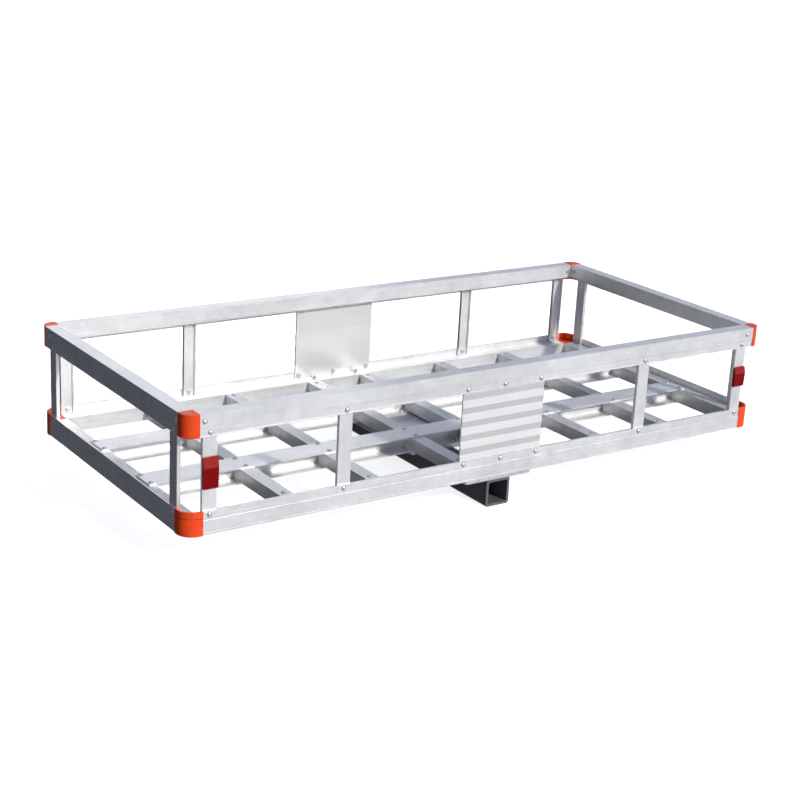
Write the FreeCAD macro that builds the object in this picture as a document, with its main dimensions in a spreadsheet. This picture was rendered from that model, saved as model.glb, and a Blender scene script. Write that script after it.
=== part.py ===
import FreeCAD, Part
import Sketcher
import math
import os

# Hitch cargo carrier: a bolted aluminium basket on a 2 inch square steel hitch tube.
# Millimetres.  +X right (long axis), +Y towards the vehicle, +Z up.
# The origin is the centre of the hitch-pin hole in the tube's vehicle end.

Vector = FreeCAD.Vector
Rotation = FreeCAD.Rotation
Placement = FreeCAD.Placement

doc = FreeCAD.newDocument("hitch_cargo_carrier")
sheet = doc.addObject("Spreadsheet::Sheet", "dims")

DRIVING_SIZES = [
    ("basket_length", 1245.0),
    ("basket_width", 571.5),
    ("basket_height", 203.2),
    ("basket_centre_y", -329.75),
    ("basket_bottom_z", 31.4),
    ("upper_rail_height", 38.1),
    ("upper_rail_depth", 25.4),
    ("upper_box_height", 27.6),
    ("lower_rail_height", 40.0),
    ("lower_rail_depth", 33.0),
    ("ledge_level", 27.0),
    ("flange_face", 0.8),
    ("flange_back", 3.0),
    ("rail_wall", 2.2),
    ("upper_step", 14.6),
    ("lower_step", 24.4),
    ("cap_proud", 0.8),
    ("rail_overrun", 6.0),
    ("plug_length", 30.0),
    ("plug_gap", 0.3),
    ("upright_width", 25.4),
    ("upright_depth", 6.4),
    ("upright_wall", 2.4),
    ("upright_inner_x", 327.0),
    ("upright_outer_x", 577.5),
    ("upright_end_y", 240.0),
    ("panel_width", 178.0),
    ("panel_sheet", 2.4),
    ("panel_rib", 1.6),
    ("panel_bolt_pitch", 80.0),
    ("beam_offset_y", 92.0),
    ("beam_width", 50.0),
    ("beam_flange", 2.8),
    ("beam_web", 3.0),
    ("beam_tab", 13.0),
    ("beam_bolt_inset", 6.5),
    ("floor_screw_offset", 19.5),
    ("slat_width", 26.0),
    ("slat_height", 24.2),
    ("slat_wall", 1.8),
    ("slat_end_gap", 1.5),
    ("slat_x_inner", 61.5),
    ("slat_x_middle", 248.0),
    ("slat_x_outer", 417.0),
    ("tube_size", 50.8),
    ("tube_wall", 4.8),
    ("tube_corner", 5.0),
    ("tube_past_rail", 94.0),
    ("tube_set_back", 1.2),
    ("plate_width", 146.0),
    ("plate_thickness", 6.0),
    ("pin_hole_radius", 8.0),
    ("bolt_radius", 2.5),
    ("bolt_hole_radius", 2.8),
    ("bolt_head_radius", 5.0),
    ("bolt_head_height", 2.8),
    ("nut_flats", 8.0),
    ("nut_height", 3.6),
    ("reflector_width", 27.0),
    ("left_reflector_height", 54.0),
    ("right_reflector_height", 40.0),
    ("reflector_depth", 6.0),
]

for row, (alias, value) in enumerate(DRIVING_SIZES, start=1):
    sheet.set("A%d" % row, alias)
    sheet.set("B%d" % row, str(value))
    sheet.setAlias("B%d" % row, alias)
doc.recompute()


def size(alias):
    return float(sheet.get(alias))


# Sizes worked out from the driving ones, in the basket's own frame:
# x and y from the basket's centre, z from the underside of the lower rails.
HALF_LENGTH = size("basket_length") / 2
HALF_WIDTH = size("basket_width") / 2
TOP = size("basket_height")
UPPER_BOTTOM = TOP - size("upper_rail_height")
UPPER_BOX_BOTTOM = size("upper_rail_height") - size("upper_box_height")
LEDGE = size("ledge_level")
UPPER_BOLT = 6.2
LOWER_BOLT = LEDGE + 6.5
CORNER_BOLT = UPPER_BOX_BOTTOM + size("upper_box_height") / 2 + 1.5
CORNER_BOLT_INSET = size("upper_rail_depth") + 9.0
LOWER_INNER_X = HALF_LENGTH - size("lower_rail_depth")
LOWER_INNER_Y = HALF_WIDTH - size("lower_rail_depth")
UPRIGHT_CLEARANCE = 0.2
UPRIGHT_BOTTOM = LEDGE + UPRIGHT_CLEARANCE
UPRIGHT_TOP = UPPER_BOTTOM + UPPER_BOX_BOTTOM - UPRIGHT_CLEARANCE
UPRIGHT_X = [
    -size("upright_outer_x"),
    -size("upright_inner_x"),
    size("upright_inner_x"),
    size("upright_outer_x"),
]
PANEL_BOLT_X = [-size("panel_bolt_pitch"), 0.0, size("panel_bolt_pitch")]
SLAT_X = [
    -size("slat_x_outer"),
    -size("slat_x_middle"),
    -size("slat_x_inner"),
    size("slat_x_inner"),
    size("slat_x_middle"),
    size("slat_x_outer"),
]
# Bolt places in the plates and clips, measured from the basket's middle or from a piece's end.
PLATE_BOLT_X = 49.0
PLATE_BOLT_INSET = 17.0
MIDDLE_BOLT_X = 34.0
MIDDLE_BOLT_OFFSET = 14.0
CLIP_SCREW = 9.0
CLIP_THICKNESS = 1.5
NODES = []


def place_by_cells(item, x, y, z, turn):
    """Turn a sub-part about Z and bind its place to the sheet; x, y, z are basket-frame expressions."""
    item.Placement = Placement(Vector(0, 0, 0), Rotation(Vector(0, 0, 1), turn))
    item.setExpression("Placement.Base.x", x)
    item.setExpression("Placement.Base.y", "dims.basket_centre_y + " + y)
    item.setExpression("Placement.Base.z", "dims.basket_bottom_z + " + z)


def new_body(name):
    body = doc.addObject("PartDesign::Body", name)
    body.Label = name
    NODES.append(body)
    return body


def sketch_on(body, role, name, offset=0.0):
    """A sketch on one of the body's own origin planes, moved along the plane's normal."""
    sketch = body.newObject("Sketcher::SketchObject", name)
    plane = [feature for feature in body.Origin.OriginFeatures if feature.Role == role][0]
    sketch.AttachmentSupport = [(plane, "")]
    sketch.MapMode = "FlatFace"
    sketch.AttachmentOffset = Placement(Vector(0, 0, offset), Rotation())
    return sketch


def add_loop(sketch, points):
    """A closed outline of straight lines."""
    corners = [Vector(a, b, 0) for a, b in points]
    for start, end in zip(corners, corners[1:] + corners[:1]):
        sketch.addGeometry(Part.LineSegment(start, end), False)


def add_circles(sketch, centres, radius_alias):
    """Round holes of one size; the first radius is bound to the sheet and the others equal it."""
    first = None
    for a, b in centres:
        circle = Part.Circle(Vector(a, b, 0), Vector(0, 0, 1), size(radius_alias))
        index = sketch.addGeometry(circle, False)
        if first is None:
            first = index
            row = sketch.addConstraint(Sketcher.Constraint("Radius", index, size(radius_alias)))
            sketch.setExpression("Constraints[%d]" % row, "dims." + radius_alias)
        else:
            sketch.addConstraint(Sketcher.Constraint("Equal", first, index))


def rectangle(a0, b0, a1, b1):
    return [(a0, b0), (a1, b0), (a1, b1), (a0, b1)]


def pad(body, sketch, name, length_expression, backwards=False):
    feature = body.newObject("PartDesign::Pad", name)
    feature.Profile = sketch
    feature.setExpression("Length", length_expression)
    feature.Reversed = backwards
    sketch.Visibility = False
    return feature


def pocket(body, sketch, name, length_expression, backwards=False):
    feature = body.newObject("PartDesign::Pocket", name)
    feature.Profile = sketch
    feature.setExpression("Length", length_expression)
    feature.Reversed = backwards
    sketch.Visibility = False
    return feature


def ridged_line(start, end, level, grooves, groove_depth):
    """Points along a level line from start to end with evenly spread square grooves."""
    pitch = (end - start) / (grooves + 1)
    half = pitch / 5
    points = []
    for number in range(1, grooves + 1):
        middle = start + pitch * number
        points.append((middle - half, level))
        points.append((middle - half, level - groove_depth))
        points.append((middle + half, level - groove_depth))
        points.append((middle + half, level))
    return points


# ---------------------------------------------------------------- rails

BEAD_FACE = 0.2
BEAD_HEIGHT = 1.0
STEP_GROOVE_DEPTH = 1.4
STEP_GROOVE_HEIGHT = 0.9
FINE_LINE_DEPTH = 0.3
FINE_LINE_HEIGHT = 0.5
FINE_LINE_GAP = 1.2
SIDE_LINE_BOTTOM = 3.2
SIDE_LINE_TOP = 4.0
RIDGE_GROOVES = 5
LEDGE_GROOVE_DEPTH = 0.6
SLAT_GROOVE_DEPTH = 0.5


def upper_rail_outline():
    """Hollow box with a flange hanging under its outer wall; y inwards from the outer face."""
    height = size("upper_rail_height")
    depth = size("upper_rail_depth")
    step = size("upper_step")
    face = size("flange_face")
    back = size("flange_back")
    line = BEAD_HEIGHT + FINE_LINE_GAP
    return [
        (BEAD_FACE, 0.0),
        (back, 0.0),
        (back, UPPER_BOX_BOTTOM),
        (depth, UPPER_BOX_BOTTOM),
        (depth, height),
        (0.0, height),
        (0.0, step),
        (STEP_GROOVE_DEPTH, step),
        (STEP_GROOVE_DEPTH, step - STEP_GROOVE_HEIGHT),
        (face, step - STEP_GROOVE_HEIGHT),
        (face, line + FINE_LINE_HEIGHT),
        (face + FINE_LINE_DEPTH, line + FINE_LINE_HEIGHT),
        (face + FINE_LINE_DEPTH, line),
        (face, line),
        (face, BEAD_HEIGHT),
        (BEAD_FACE, BEAD_HEIGHT),
    ]


def lower_rail_outline():
    """Hollow box with a ridged ledge and a flange standing up from its outer wall."""
    height = size("lower_rail_height")
    depth = size("lower_rail_depth")
    step = size("lower_step")
    face = size("flange_face")
    back = size("flange_back")
    line = height - BEAD_HEIGHT - FINE_LINE_GAP
    outline = [(0.0, 0.0), (depth, 0.0), (depth, LEDGE)]
    outline += ridged_line(depth, back, LEDGE, RIDGE_GROOVES, LEDGE_GROOVE_DEPTH)
    outline += [
        (back, LEDGE),
        (back, height),
        (BEAD_FACE, height),
        (BEAD_FACE, height - BEAD_HEIGHT),
        (face, height - BEAD_HEIGHT),
        (face, line),
        (face + FINE_LINE_DEPTH, line),
        (face + FINE_LINE_DEPTH, line - FINE_LINE_HEIGHT),
        (face, line - FINE_LINE_HEIGHT),
        (face, step + STEP_GROOVE_HEIGHT),
        (STEP_GROOVE_DEPTH, step + STEP_GROOVE_HEIGHT),
        (STEP_GROOVE_DEPTH, step),
        (0.0, step),
        (0.0, SIDE_LINE_TOP),
        (FINE_LINE_HEIGHT, SIDE_LINE_TOP),
        (FINE_LINE_HEIGHT, SIDE_LINE_BOTTOM),
        (0.0, SIDE_LINE_BOTTOM),
    ]
    return outline


def cavity(bottom, top, depth):
    wall = size("rail_wall")
    return rectangle(wall, bottom + wall, depth - wall, top - wall)


def upper_rail(name, length_cell, half_span, bolt_places, start_overrun, end_overrun):
    """An upper rail along local x; bolt_places are distances from the basket's middle.

    The overruns are how far each end reaches past the inner face of the rail across it.
    """
    body = new_body(name)
    profile = sketch_on(body, "YZ_Plane", name + "_profile")
    add_loop(profile, upper_rail_outline())
    add_loop(profile, cavity(UPPER_BOX_BOTTOM, size("upper_rail_height"), size("upper_rail_depth")))
    overrun = start_overrun + end_overrun
    length = "dims.%s - 2 * dims.upper_rail_depth + %s" % (length_cell, overrun)
    pad(body, profile, name + "_extrusion", length)
    half_rail = half_span - size("upper_rail_depth") + start_overrun
    corner = half_span - CORNER_BOLT_INSET
    centres = [(half_rail + place, UPPER_BOLT) for place in bolt_places]
    centres += [(half_rail - corner, CORNER_BOLT), (half_rail + corner, CORNER_BOLT)]
    holes = sketch_on(body, "XZ_Plane", name + "_bolt_places")
    add_circles(holes, centres, "bolt_hole_radius")
    pocket(body, holes, name + "_bolt_holes", "dims.upper_rail_depth + 1")
    return body


def lower_rail(name, length_cell, half_span, bolt_places, ledge_bolts, through_ledge_only):
    """A lower rail along local x; bolt_places are distances from its middle along the flange.

    ledge_bolts are the (x from the middle, y) of bolts down through the ledge, or through its top
    wall alone.
    """
    body = new_body(name)
    profile = sketch_on(body, "YZ_Plane", name + "_profile")
    add_loop(profile, lower_rail_outline())
    add_loop(profile, cavity(0.0, LEDGE, size("lower_rail_depth")))
    pad(body, profile, name + "_extrusion", "dims.%s - 2 * dims.lower_rail_depth" % length_cell)
    half_rail = half_span - size("lower_rail_depth")
    holes = sketch_on(body, "XZ_Plane", name + "_bolt_places")
    add_circles(holes, [(half_rail + place, LOWER_BOLT) for place in bolt_places], "bolt_hole_radius")
    pocket(body, holes, name + "_bolt_holes", "dims.flange_back + 1")
    start = LEDGE / 2 if through_ledge_only else -1.0
    ledge = sketch_on(body, "XY_Plane", name + "_ledge_places", start)
    add_circles(ledge, [(half_rail + x, y) for x, y in ledge_bolts], "bolt_hole_radius")
    pocket(body, ledge, name + "_ledge_holes", "dims.lower_rail_height", True)
    return body


def make_rails():
    long_bolts = UPRIGHT_X + PANEL_BOLT_X
    end_bolts = [-size("upright_end_y"), size("upright_end_y")]
    beam_bolt_y = size("lower_rail_depth") - size("beam_bolt_inset")
    beam_bolts = []
    for beam in (-1, 1):
        for side in (-1, 1):
            place = beam * size("beam_offset_y") + side * size("floor_screw_offset")
            beam_bolts.append((place, beam_bolt_y))
    plate_bolts = [(-PLATE_BOLT_X, PLATE_BOLT_INSET), (PLATE_BOLT_X, PLATE_BOLT_INSET)]
    overrun = size("rail_overrun")
    overruns = {"front": (0.0, overrun), "back": (0.0, 0.0), "left": (overrun, 0.0), "right": (0.0, 0.0)}
    turns = {"front": 0, "back": 180, "left": 270, "right": 90}
    for side, turn in turns.items():
        is_long = side in ("front", "back")
        cell = "basket_length" if is_long else "basket_width"
        span = HALF_LENGTH if is_long else HALF_WIDTH
        start_overrun, end_overrun = overruns[side]
        upper = upper_rail(
            "upper_%s_rail" % side,
            cell,
            span,
            long_bolts if is_long else end_bolts,
            start_overrun,
            end_overrun,
        )
        lower = lower_rail(
            "lower_%s_rail" % side,
            cell,
            span,
            long_bolts if is_long else end_bolts,
            plate_bolts if is_long else beam_bolts,
            not is_long,
        )
        upper_height = "dims.basket_height - dims.upper_rail_height"
        place_by_cells(upper, *rail_start(side, "upper", start_overrun), upper_height, turn)
        place_by_cells(lower, *rail_start(side, "lower", 0.0), "0", turn)


def rail_start(side, level, overrun):
    """Where a rail's own x axis starts: the cells for its x and y."""
    inset = "dims.%s_rail_depth - %s" % (level, overrun)
    starts = {
        "front": ("-dims.basket_length / 2 + (%s)" % inset, "-dims.basket_width / 2"),
        "back": ("dims.basket_length / 2 - (%s)" % inset, "dims.basket_width / 2"),
        "left": ("-dims.basket_length / 2", "dims.basket_width / 2 - (%s)" % inset),
        "right": ("dims.basket_length / 2", "-dims.basket_width / 2 + (%s)" % inset),
    }
    return starts[side]



# ---------------------------------------------------------------- corner caps

# How far a plug's root is sunk into the cap's block.
PLUG_ROOT = 1.0
UPPER_CAP_RADIUS = 20.0
LOWER_CAP_RADIUS = 27.0


def quarter_outline(sketch, side_x, side_y, proud, radius):
    """Rectangular plan with its outer corner rounded; the outer corner is at the local origin."""
    low = -proud
    centre = Vector(low + radius, low + radius, 0)
    arc = Part.ArcOfCircle(Part.Circle(centre, Vector(0, 0, 1), radius), math.pi, 1.5 * math.pi)
    sketch.addGeometry(arc, False)
    corners = [
        Vector(low + radius, low, 0),
        Vector(side_x, low, 0),
        Vector(side_x, side_y, 0),
        Vector(low, side_y, 0),
        Vector(low, low + radius, 0),
    ]
    for start, end in zip(corners, corners[1:]):
        sketch.addGeometry(Part.LineSegment(start, end), False)


def curved_wall_outline(sketch, side_x, side_y, proud, radius, inner):
    """The L-shaped wall that carries the rail flanges round the corner, seen in plan."""
    low = -proud
    centre = Vector(low + radius, low + radius, 0)
    axis = Vector(0, 0, 1)
    inner_radius = radius + low - inner
    outer_arc = Part.ArcOfCircle(Part.Circle(centre, axis, radius), math.pi, 1.5 * math.pi)
    inner_arc = Part.ArcOfCircle(Part.Circle(centre, axis, inner_radius), math.pi, 1.5 * math.pi)
    sketch.addGeometry(outer_arc, False)
    sketch.addGeometry(inner_arc, False)
    for start, end in (
        ((low + radius, low), (side_x, low)),
        ((side_x, low), (side_x, inner)),
        ((side_x, inner), (low + radius, inner)),
        ((inner, low + radius), (inner, side_y)),
        ((inner, side_y), (low, side_y)),
        ((low, side_y), (low, low + radius)),
    ):
        if start != end:
            sketch.addGeometry(Part.LineSegment(Vector(*start, 0), Vector(*end, 0)), False)


def corner_cap(name, level, box, block, wall_span, radius, overrun_x, overrun_y):
    """A plastic corner: a block beside the rails' boxes, a curved wall and two plugs.

    box, block and wall_span are (bottom, top) of the rails' boxes, of the block and of the wall.
    The overruns are how far the rails along local x and y reach into the corner square.
    """
    body = new_body(name)
    side_x = size(level + "_rail_depth") - overrun_x
    side_y = size(level + "_rail_depth") - overrun_y
    proud = size("cap_proud")
    wall = size("rail_wall") + size("plug_gap")
    plan = sketch_on(body, "XY_Plane", name + "_block", block[0])
    quarter_outline(plan, side_x, side_y, proud, radius)
    pad(body, plan, name + "_block_pad", "%s" % (block[1] - block[0]))
    curve = sketch_on(body, "XY_Plane", name + "_wall", wall_span[0])
    curved_wall_outline(curve, side_x, side_y, proud, radius, size("flange_back"))
    pad(body, curve, name + "_wall_pad", "%s" % (wall_span[1] - wall_span[0]))
    low = box[0] + wall
    high = box[1] - wall
    x_plug = sketch_on(body, "YZ_Plane", name + "_plug_x", side_x - PLUG_ROOT)
    add_loop(x_plug, rectangle(wall, low, side_y - wall, high))
    pad(body, x_plug, name + "_plug_x_pad", "dims.plug_length + %s" % PLUG_ROOT)
    y_plug = sketch_on(body, "XZ_Plane", name + "_plug_y", -(side_y - PLUG_ROOT))
    add_loop(y_plug, rectangle(wall, low, side_x - wall, high))
    pad(body, y_plug, name + "_plug_y_pad", "dims.plug_length + %s" % PLUG_ROOT, True)
    return body


def make_corner_caps():
    corners = {
        "front_left": ("-dims.basket_length / 2", "-dims.basket_width / 2", 0),
        "front_right": ("dims.basket_length / 2", "-dims.basket_width / 2", 90),
        "back_right": ("dims.basket_length / 2", "dims.basket_width / 2", 180),
        "back_left": ("-dims.basket_length / 2", "dims.basket_width / 2", 270),
    }
    proud = size("cap_proud")
    overrun = size("rail_overrun")
    overruns = {"front_right": (0.0, overrun), "back_left": (overrun, 0.0)}
    for corner, (x, y, turn) in corners.items():
        height = size("upper_rail_height")
        upper_box = (UPPER_BOX_BOTTOM, height)
        upper_block = (UPPER_BOX_BOTTOM, height + proud)
        upper_wall = (0.0, height - proud)
        upper = corner_cap(
            "upper_cap_" + corner,
            "upper",
            upper_box,
            upper_block,
            upper_wall,
            UPPER_CAP_RADIUS,
            *overruns.get(corner, (0.0, 0.0)),
        )
        corner_bolts = sketch_on(upper, "XZ_Plane", upper.Name + "_bolt_x", size("plug_gap"))
        add_circles(corner_bolts, [(CORNER_BOLT_INSET, CORNER_BOLT)], "bolt_hole_radius")
        pocket(upper, corner_bolts, upper.Name + "_bolt_x_hole", "dims.upper_rail_depth + 1")
        side_bolts = sketch_on(upper, "YZ_Plane", upper.Name + "_bolt_y", -size("plug_gap"))
        add_circles(side_bolts, [(CORNER_BOLT_INSET, CORNER_BOLT)], "bolt_hole_radius")
        pocket(upper, side_bolts, upper.Name + "_bolt_y_hole", "dims.upper_rail_depth + 1", True)
        place_by_cells(upper, x, y, "dims.basket_height - dims.upper_rail_height", turn)
        lower_box = (0.0, LEDGE)
        lower_block = (-proud, LEDGE)
        lower_wall = (0.0, size("lower_rail_height") + proud)
        lower = corner_cap(
            "lower_cap_" + corner,
            "lower",
            lower_box,
            lower_block,
            lower_wall,
            LOWER_CAP_RADIUS,
            0.0,
            0.0,
        )
        place_by_cells(lower, x, y, "0", turn)


# ---------------------------------------------------------------- uprights and panels

def upright(name, x, y, turn):
    """A shallow channel, web outwards; local origin at the outer face, on the upright's middle."""
    body = new_body(name)
    half = size("upright_width") / 2
    wall = size("upright_wall")
    depth = size("upright_depth")
    section = sketch_on(body, "XY_Plane", name + "_section")
    add_loop(
        section,
        [
            (-half, 0.0),
            (half, 0.0),
            (half, depth),
            (half - wall, depth),
            (half - wall, wall),
            (wall - half, wall),
            (wall - half, depth),
            (-half, depth),
        ],
    )
    height = "dims.basket_height - dims.upper_box_height - dims.ledge_level - %s"
    pad(body, section, name + "_bar", height % (2 * UPRIGHT_CLEARANCE))
    holes = sketch_on(body, "XZ_Plane", name + "_bolt_places")
    top = UPPER_BOTTOM + UPPER_BOLT - UPRIGHT_BOTTOM
    add_circles(holes, [(0.0, LOWER_BOLT - UPRIGHT_BOTTOM), (0.0, top)], "bolt_hole_radius")
    pocket(body, holes, name + "_bolt_holes", "dims.upright_depth")
    place_by_cells(body, x, y, "dims.ledge_level + %s" % UPRIGHT_CLEARANCE, turn)
    return body


def make_uprights():
    for number, x in enumerate(UPRIGHT_X, start=1):
        front_y = "-dims.basket_width / 2 + dims.flange_back"
        back_y = "dims.basket_width / 2 - dims.flange_back"
        upright("upright_front_%d" % number, str(x), front_y, 0)
        upright("upright_back_%d" % number, str(x), back_y, 180)
    left_x = "-dims.basket_length / 2 + dims.flange_back"
    right_x = "dims.basket_length / 2 - dims.flange_back"
    upright("upright_left_front", left_x, "-dims.upright_end_y", 270)
    upright("upright_left_back", left_x, "dims.upright_end_y", 270)
    upright("upright_right_front", right_x, "-dims.upright_end_y", 90)
    upright("upright_right_back", right_x, "dims.upright_end_y", 90)


PANEL_RIB_COUNT = 5
RIB_PITCH = 25.0
RIB_LOWER_FACET = 11.5
RIB_RETURN = 1.2
RIB_TOP_GAP = 2.0
RIB_BOTTOM_GAP = 1.0
RIB_BOTTOM_RETURN = 0.6


def centre_panel(name, y, turn):
    """A sheet behind the rails' flanges with level folds standing out between the rails."""
    body = new_body(name)
    sheet_back = size("panel_sheet")
    rib = size("panel_rib")
    height = UPRIGHT_TOP - UPRIGHT_BOTTOM
    top_crest = UPPER_BOTTOM - UPRIGHT_BOTTOM - RIB_TOP_GAP
    outline = [(0.0, 0.0), (sheet_back, 0.0), (sheet_back, height), (0.0, height)]
    outline.append((0.0, top_crest + RIB_RETURN))
    for number in range(PANEL_RIB_COUNT):
        crest = top_crest - number * RIB_PITCH
        root = crest - RIB_LOWER_FACET
        outline += [(-rib, crest), (0.0, root)]
    lowest = size("lower_rail_height") + RIB_BOTTOM_GAP - UPRIGHT_BOTTOM
    share = (root - lowest) / (RIB_PITCH - RIB_LOWER_FACET)
    outline += [(-rib * share, lowest), (0.0, lowest - RIB_BOTTOM_RETURN)]
    profile = sketch_on(body, "YZ_Plane", name + "_profile")
    add_loop(profile, outline)
    pad(body, profile, name + "_sheet", "dims.panel_width")
    holes = sketch_on(body, "XZ_Plane", name + "_bolt_places")
    half = size("panel_width") / 2
    centres = []
    for x in PANEL_BOLT_X:
        centres.append((half + x, LOWER_BOLT - UPRIGHT_BOTTOM))
        centres.append((half + x, UPPER_BOTTOM + UPPER_BOLT - UPRIGHT_BOTTOM))
    add_circles(holes, centres, "bolt_hole_radius")
    pocket(body, holes, name + "_bolt_holes", "dims.panel_sheet + 1")
    start = "-dims.panel_width / 2" if turn == 0 else "dims.panel_width / 2"
    place_by_cells(body, start, y, "dims.ledge_level + %s" % UPRIGHT_CLEARANCE, turn)


def make_panels():
    centre_panel("front_panel", "-dims.basket_width / 2 + dims.flange_back", 0)
    centre_panel("back_panel", "dims.basket_width / 2 - dims.flange_back", 180)


# ---------------------------------------------------------------- floor beams and slats

def floor_beam(name, y):
    """An I-section between the end rails; its top flange runs on over their ledges as a tab."""
    body = new_body(name)
    half = size("beam_width") / 2
    flange = size("beam_flange")
    web = size("beam_web") / 2
    tab = size("beam_tab")
    section = sketch_on(body, "YZ_Plane", name + "_section", tab)
    add_loop(
        section,
        [
            (-half, 0.0),
            (half, 0.0),
            (half, flange),
            (web, flange),
            (web, LEDGE + flange / 2),
            (-web, LEDGE + flange / 2),
            (-web, flange),
            (-half, flange),
        ],
    )
    pad(body, section, name + "_web", "dims.basket_length - 2 * dims.lower_rail_depth")
    top = sketch_on(body, "YZ_Plane", name + "_top_section")
    add_loop(top, rectangle(-half, LEDGE, half, LEDGE + flange))
    full = "dims.basket_length - 2 * dims.lower_rail_depth + 2 * dims.beam_tab"
    pad(body, top, name + "_top_flange", full)
    middle = LOWER_INNER_X + tab
    ends = middle - (tab - size("beam_bolt_inset"))
    centres = []
    for side in (-1, 1):
        offset = side * size("floor_screw_offset")
        centres += [(middle - ends, offset), (middle + ends, offset)]
        centres += [(middle + x, offset) for x in SLAT_X]
    holes = sketch_on(body, "XY_Plane", name + "_hole_places", LEDGE / 2)
    add_circles(holes, centres, "bolt_hole_radius")
    pocket(body, holes, name + "_holes", "dims.ledge_level", True)
    low_holes = sketch_on(body, "XY_Plane", name + "_plate_places", -1.0)
    plate_centres = []
    for x in (-MIDDLE_BOLT_X, MIDDLE_BOLT_X):
        for side in (-1, 1):
            plate_centres.append((middle + x, side * MIDDLE_BOLT_OFFSET))
    add_circles(low_holes, plate_centres, "bolt_hole_radius")
    pocket(body, low_holes, name + "_plate_holes", "dims.beam_flange + 2", True)
    place_by_cells(body, "-dims.basket_length / 2 + dims.lower_rail_depth - dims.beam_tab", y, "0", 0)


def floor_slat(name, x, start_y, end_y, length_expression):
    """An open-bottomed channel with a ridged top, laid front to back; local y runs to the back."""
    body = new_body(name)
    half = size("slat_width") / 2
    height = size("slat_height")
    wall = size("slat_wall")
    section = sketch_on(body, "XZ_Plane", name + "_section")
    outline = [(-half, 0.0), (-half, height)]
    outline += ridged_line(-half, half, height, RIDGE_GROOVES, SLAT_GROOVE_DEPTH)
    outline += [
        (half, height),
        (half, 0.0),
        (half - wall, 0.0),
        (half - wall, height - wall),
        (wall - half, height - wall),
        (wall - half, 0.0),
    ]
    add_loop(section, outline)
    pad(body, section, name + "_channel", length_expression, True)
    length = end_y - start_y
    holes = sketch_on(body, "XY_Plane", name + "_screw_places", size("slat_height") / 2)
    beam_screw = size("floor_screw_offset") - size("beam_web") / 2 - size("slat_end_gap")
    first = CLIP_SCREW if start_y < -HALF_WIDTH / 2 else beam_screw
    last = CLIP_SCREW if end_y > HALF_WIDTH / 2 else beam_screw
    add_circles(holes, [(0.0, first), (0.0, length - last)], "bolt_hole_radius")
    pocket(body, holes, name + "_screw_holes", "dims.slat_height", True)
    place_by_cells(body, str(x), str(start_y), "dims.beam_flange", 0)


def make_floor():
    floor_beam("front_beam", "-dims.beam_offset_y")
    floor_beam("back_beam", "dims.beam_offset_y")
    gap = size("slat_end_gap")
    web = size("beam_web") / 2
    rail = LOWER_INNER_Y - gap
    outside = size("beam_offset_y") + web + gap
    inside = size("beam_offset_y") - web - gap
    outer_length = (
        "dims.basket_width / 2 - dims.lower_rail_depth - dims.beam_offset_y"
        " - dims.beam_web / 2 - 2 * dims.slat_end_gap"
    )
    inner_length = "2 * dims.beam_offset_y - dims.beam_web - 2 * dims.slat_end_gap"
    for number, x in enumerate(SLAT_X, start=1):
        floor_slat("slat_front_%d" % number, x, -rail, -outside, outer_length)
        floor_slat("slat_middle_%d" % number, x, -inside, inside, inner_length)
        floor_slat("slat_back_%d" % number, x, outside, rail, outer_length)


# ---------------------------------------------------------------- hitch tube and plates

END_PLATE_DEPTH = 42.0
PLATE_CORNER = 6.0
TUBE_INNER_CORNER = size("tube_corner") - 3.0


def rounded_square(sketch, half, radius):
    """A square outline with round corners, centred on the sketch's origin."""
    inner = half - radius
    axis = Vector(0, 0, 1)
    for number, (cx, cy) in enumerate(((inner, inner), (-inner, inner), (-inner, -inner), (inner, -inner))):
        start = number * math.pi / 2
        circle = Part.Circle(Vector(cx, cy, 0), axis, radius)
        sketch.addGeometry(Part.ArcOfCircle(circle, start, start + math.pi / 2), False)
    for start, end in (
        ((inner, half), (-inner, half)),
        ((-half, inner), (-half, -inner)),
        ((-inner, -half), (inner, -half)),
        ((half, -inner), (half, inner)),
    ):
        sketch.addGeometry(Part.LineSegment(Vector(*start, 0), Vector(*end, 0)), False)


def make_hitch_tube():
    """Square tube with its axis at local z = 0; local y runs from the open end to the shank."""
    body = new_body("hitch_tube")
    section = sketch_on(body, "XZ_Plane", "hitch_tube_section")
    half = size("tube_size") / 2
    rounded_square(section, half, size("tube_corner"))
    rounded_square(section, half - size("tube_wall"), TUBE_INNER_CORNER)
    length = "dims.basket_width - dims.tube_set_back + dims.tube_past_rail"
    pad(body, section, "hitch_tube_extrusion", length, True)
    pin = sketch_on(body, "YZ_Plane", "hitch_pin_place", -size("tube_size"))
    pin_y = -size("basket_centre_y") + HALF_WIDTH - size("tube_set_back")
    add_circles(pin, [(pin_y, 0.0)], "pin_hole_radius")
    pocket(body, pin, "hitch_pin_hole", "2 * dims.tube_size", True)
    body.Placement = Placement()
    body.setExpression("Placement.Base.y", "dims.basket_centre_y - dims.basket_width / 2 + dims.tube_set_back")


def plate_with_holes(start_y, depth, hole_places):
    """A flat plate under the floor, drilled for its bolts, in basket coordinates."""
    width = size("plate_width")
    thickness = size("plate_thickness")
    plate = Part.makeBox(width, depth, thickness, Vector(-width / 2, start_y, -thickness))
    upright_edges = [edge for edge in plate.Edges if abs(edge.BoundBox.ZLength - thickness) < 0.001]
    plate = plate.makeFillet(PLATE_CORNER, upright_edges)
    for x, y in hole_places:
        hole = Part.makeCylinder(size("bolt_hole_radius"), thickness + 2, Vector(x, y, -thickness - 1))
        plate = plate.cut(hole)
    return plate


def add_feature(name, shape):
    """A sub-part whose shape is set by Part's own functions, then moved from the basket's frame."""
    feature = doc.addObject("Part::Feature", name)
    feature.Label = name
    feature.Shape = shape
    feature.setExpression("Placement.Base.y", "dims.basket_centre_y")
    feature.setExpression("Placement.Base.z", "dims.basket_bottom_z")
    NODES.append(feature)


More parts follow.
